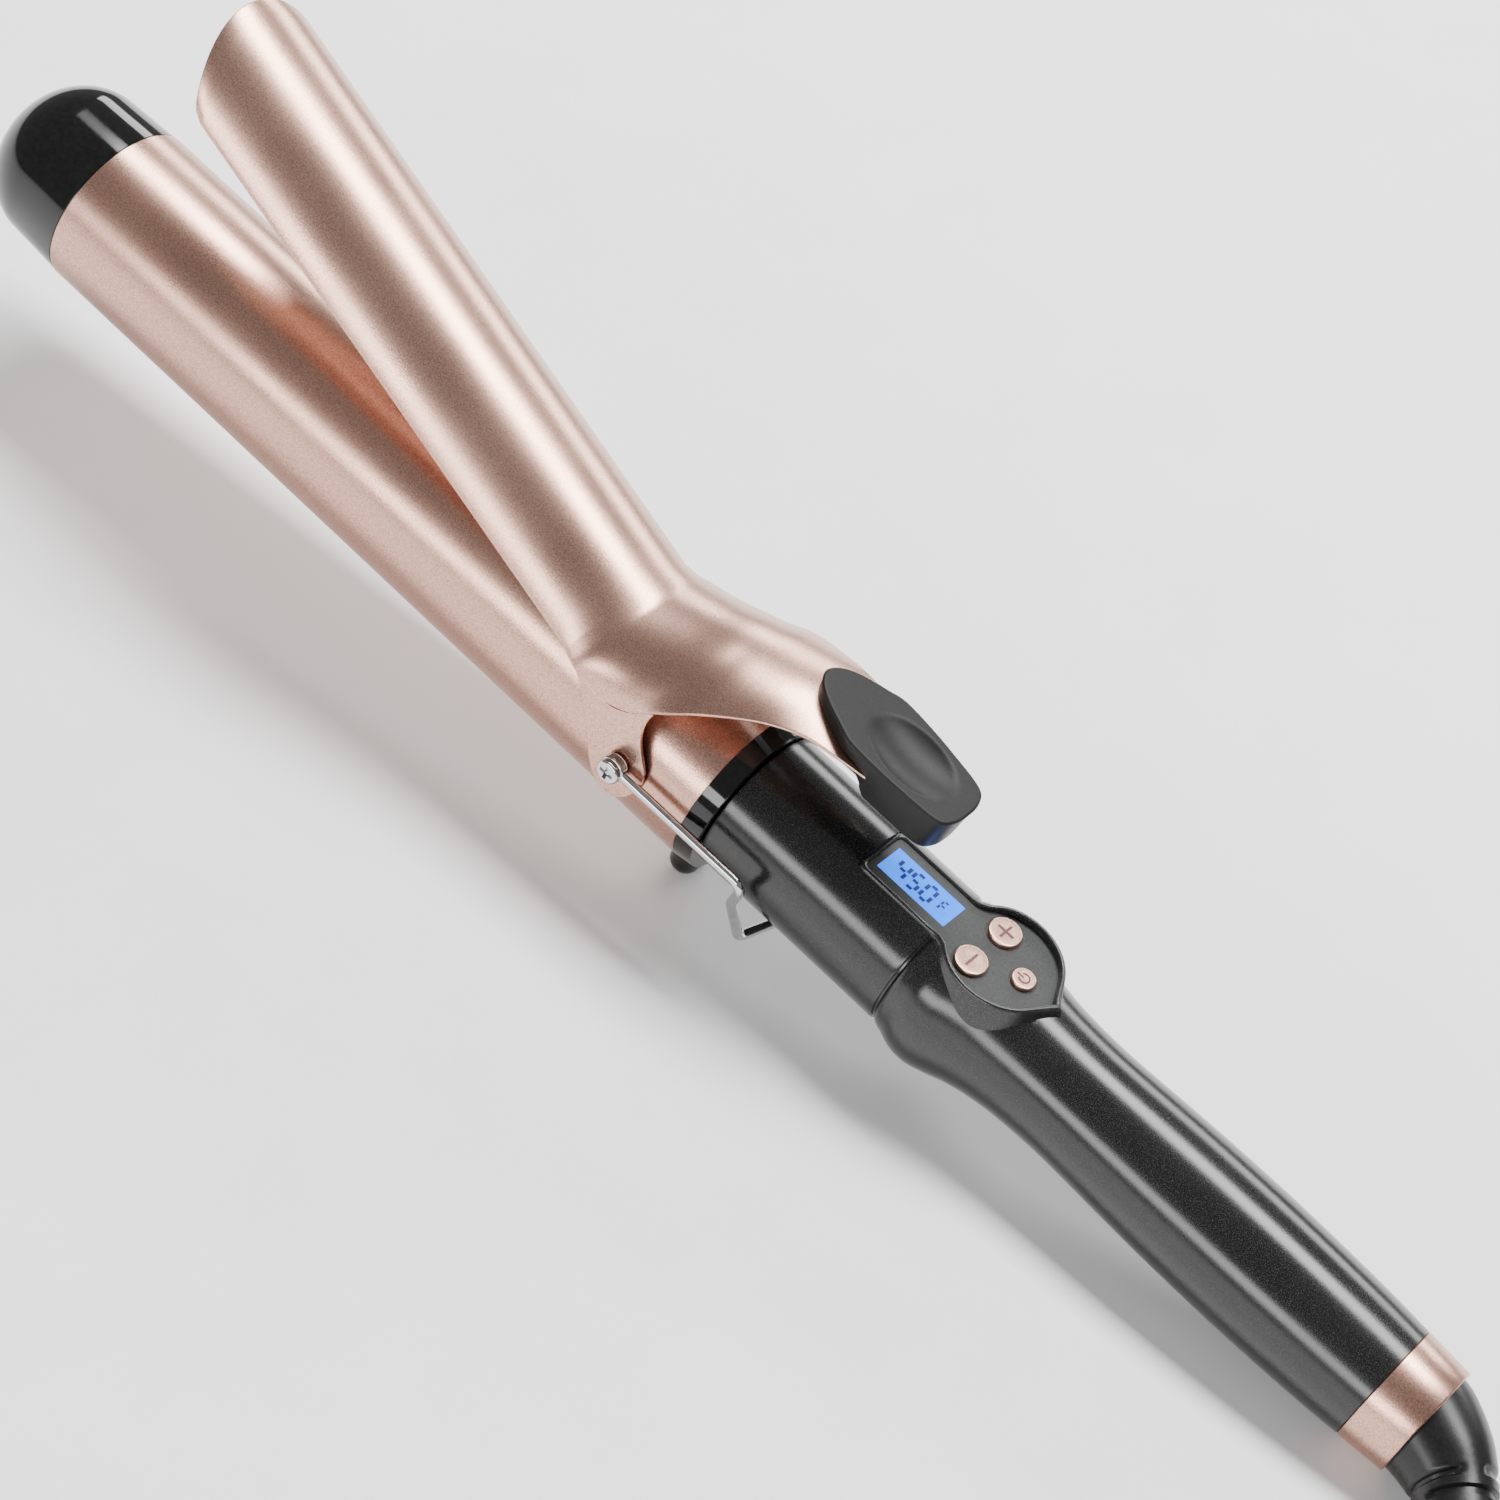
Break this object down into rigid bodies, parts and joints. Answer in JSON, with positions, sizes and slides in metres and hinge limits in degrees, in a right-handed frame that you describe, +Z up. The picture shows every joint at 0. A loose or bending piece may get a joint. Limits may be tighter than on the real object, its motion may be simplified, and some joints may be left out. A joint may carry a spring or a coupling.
{
  "type": "curling iron",
  "caption": "Handheld hair curling iron with a hinged spring clamp over a heated barrel, fold-out wire stand, display with buttons, swivelling cord and plug",
  "frame": {"origin": "on the table, under the middle of the tool's outer box without the cord", "axes": "+X from the barrel's tip towards the cord, +Z up, +Y to the left of that direction; the tool lies on its foot and tail ring with the barrel's tip raised 5.2 degrees"},
  "size_m": [0.5205, 0.0991, 0.1168],
  "materials": {
    "rose_metal": "satin rose-gold coating with a fine grain",
    "gloss_black": "smooth glossy black, heat resistant",
    "handle_black": "black with a fine sparkle, soft gloss",
    "alu": "thin extruded sleeve",
    "ceramic": "fired white ceramic",
    "lead_sleeve": "woven glass sleeving",
    "inner_plastic": "moulded heat-resistant plastic",
    "chrome": "bright plated wire and screws",
    "steel": "zinc-plated steel",
    "panel_grey": "fine matte grey",
    "display": "blue backlit display",
    "board": "green circuit board",
    "brass": "plain brass",
    "rubber_black": "satin black flexible sheath",
    "tie": "black band",
    "pad_black": "heat-insulating black, matte on top",
    "button_rose": "rose-gold keys"
  },
  "bodies": {
    "iron": {"barrel_tube": "rose_metal", "tip_cap": "gloss_black", "heat_spreader_upper": "alu", "heat_spreader_lower": "alu", "ceramic_heater": "ceramic", "thermistor": "ceramic", "heater_leads": "lead_sleeve", "pivot_bush": "inner_plastic", "pivot_screws": "chrome", "collar": "gloss_black", "handle_shell_upper": "handle_black", "handle_shell_lower": "handle_black", "handle_screws": "steel", "end_ring": "rose_metal", "control_panel": "panel_grey", "display_window": "display", "display_module": "display", "control_board": "board", "button_switches": "inner_plastic", "drive_board": "board", "contact_springs": "brass", "swivel_socket_upper": "inner_plastic", "swivel_socket_lower": "inner_plastic"},
    "clamp": {"clamp_blade": "rose_metal", "thumb_pad": "pad_black", "pad_screws": "steel", "clamp_spring": "steel"},
    "stand": {"wire_stand": "chrome"},
    "plus_key": {"button_plus": "button_rose"},
    "minus_key": {"button_minus": "button_rose"},
    "power_key": {"button_power": "button_rose"},
    "cord": {"swivel_drum": "inner_plastic", "contact_rings": "brass", "strain_relief": "rubber_black", "power_cord": "rubber_black", "cord_coil": "rubber_black", "cord_tie": "tie", "cord_tail": "rubber_black", "plug_body": "rubber_black", "plug_blades": "brass"}
  },
  "joints": [
    {"name": "clamp_hinge", "type": "hinge", "parent": "iron", "child": "clamp", "pos_m": [-0.00236, 0, 0.03353], "axis": [0, 1, 0], "range_deg": [-18.87, 10], "stiffness_Nm_per_rad": 0.2, "springref_deg": -57.3},
    {"name": "stand_hinge", "type": "hinge", "parent": "iron", "child": "stand", "pos_m": [-0.00236, 0, 0.03353], "axis": [0, 1, 0], "range_deg": [0, 95]},
    {"name": "plus_press", "type": "slide", "parent": "iron", "child": "plus_key", "axis": [-0.091, 0, -0.9958], "range_m": [0, 0.0006], "stiffness_N_per_m": 300, "springref_m": -0.001},
    {"name": "minus_press", "type": "slide", "parent": "iron", "child": "minus_key", "axis": [-0.091, 0, -0.9958], "range_m": [0, 0.0006], "stiffness_N_per_m": 300, "springref_m": -0.001},
    {"name": "power_press", "type": "slide", "parent": "iron", "child": "power_key", "axis": [-0.091, 0, -0.9958], "range_m": [0, 0.0006], "stiffness_N_per_m": 300, "springref_m": -0.001},
    {"name": "cord_swivel", "type": "hinge", "parent": "iron", "child": "cord", "pos_m": [0.19725, 0, 0.01248], "axis": [0.9958, 0, -0.091], "continuous": true}
  ]
}
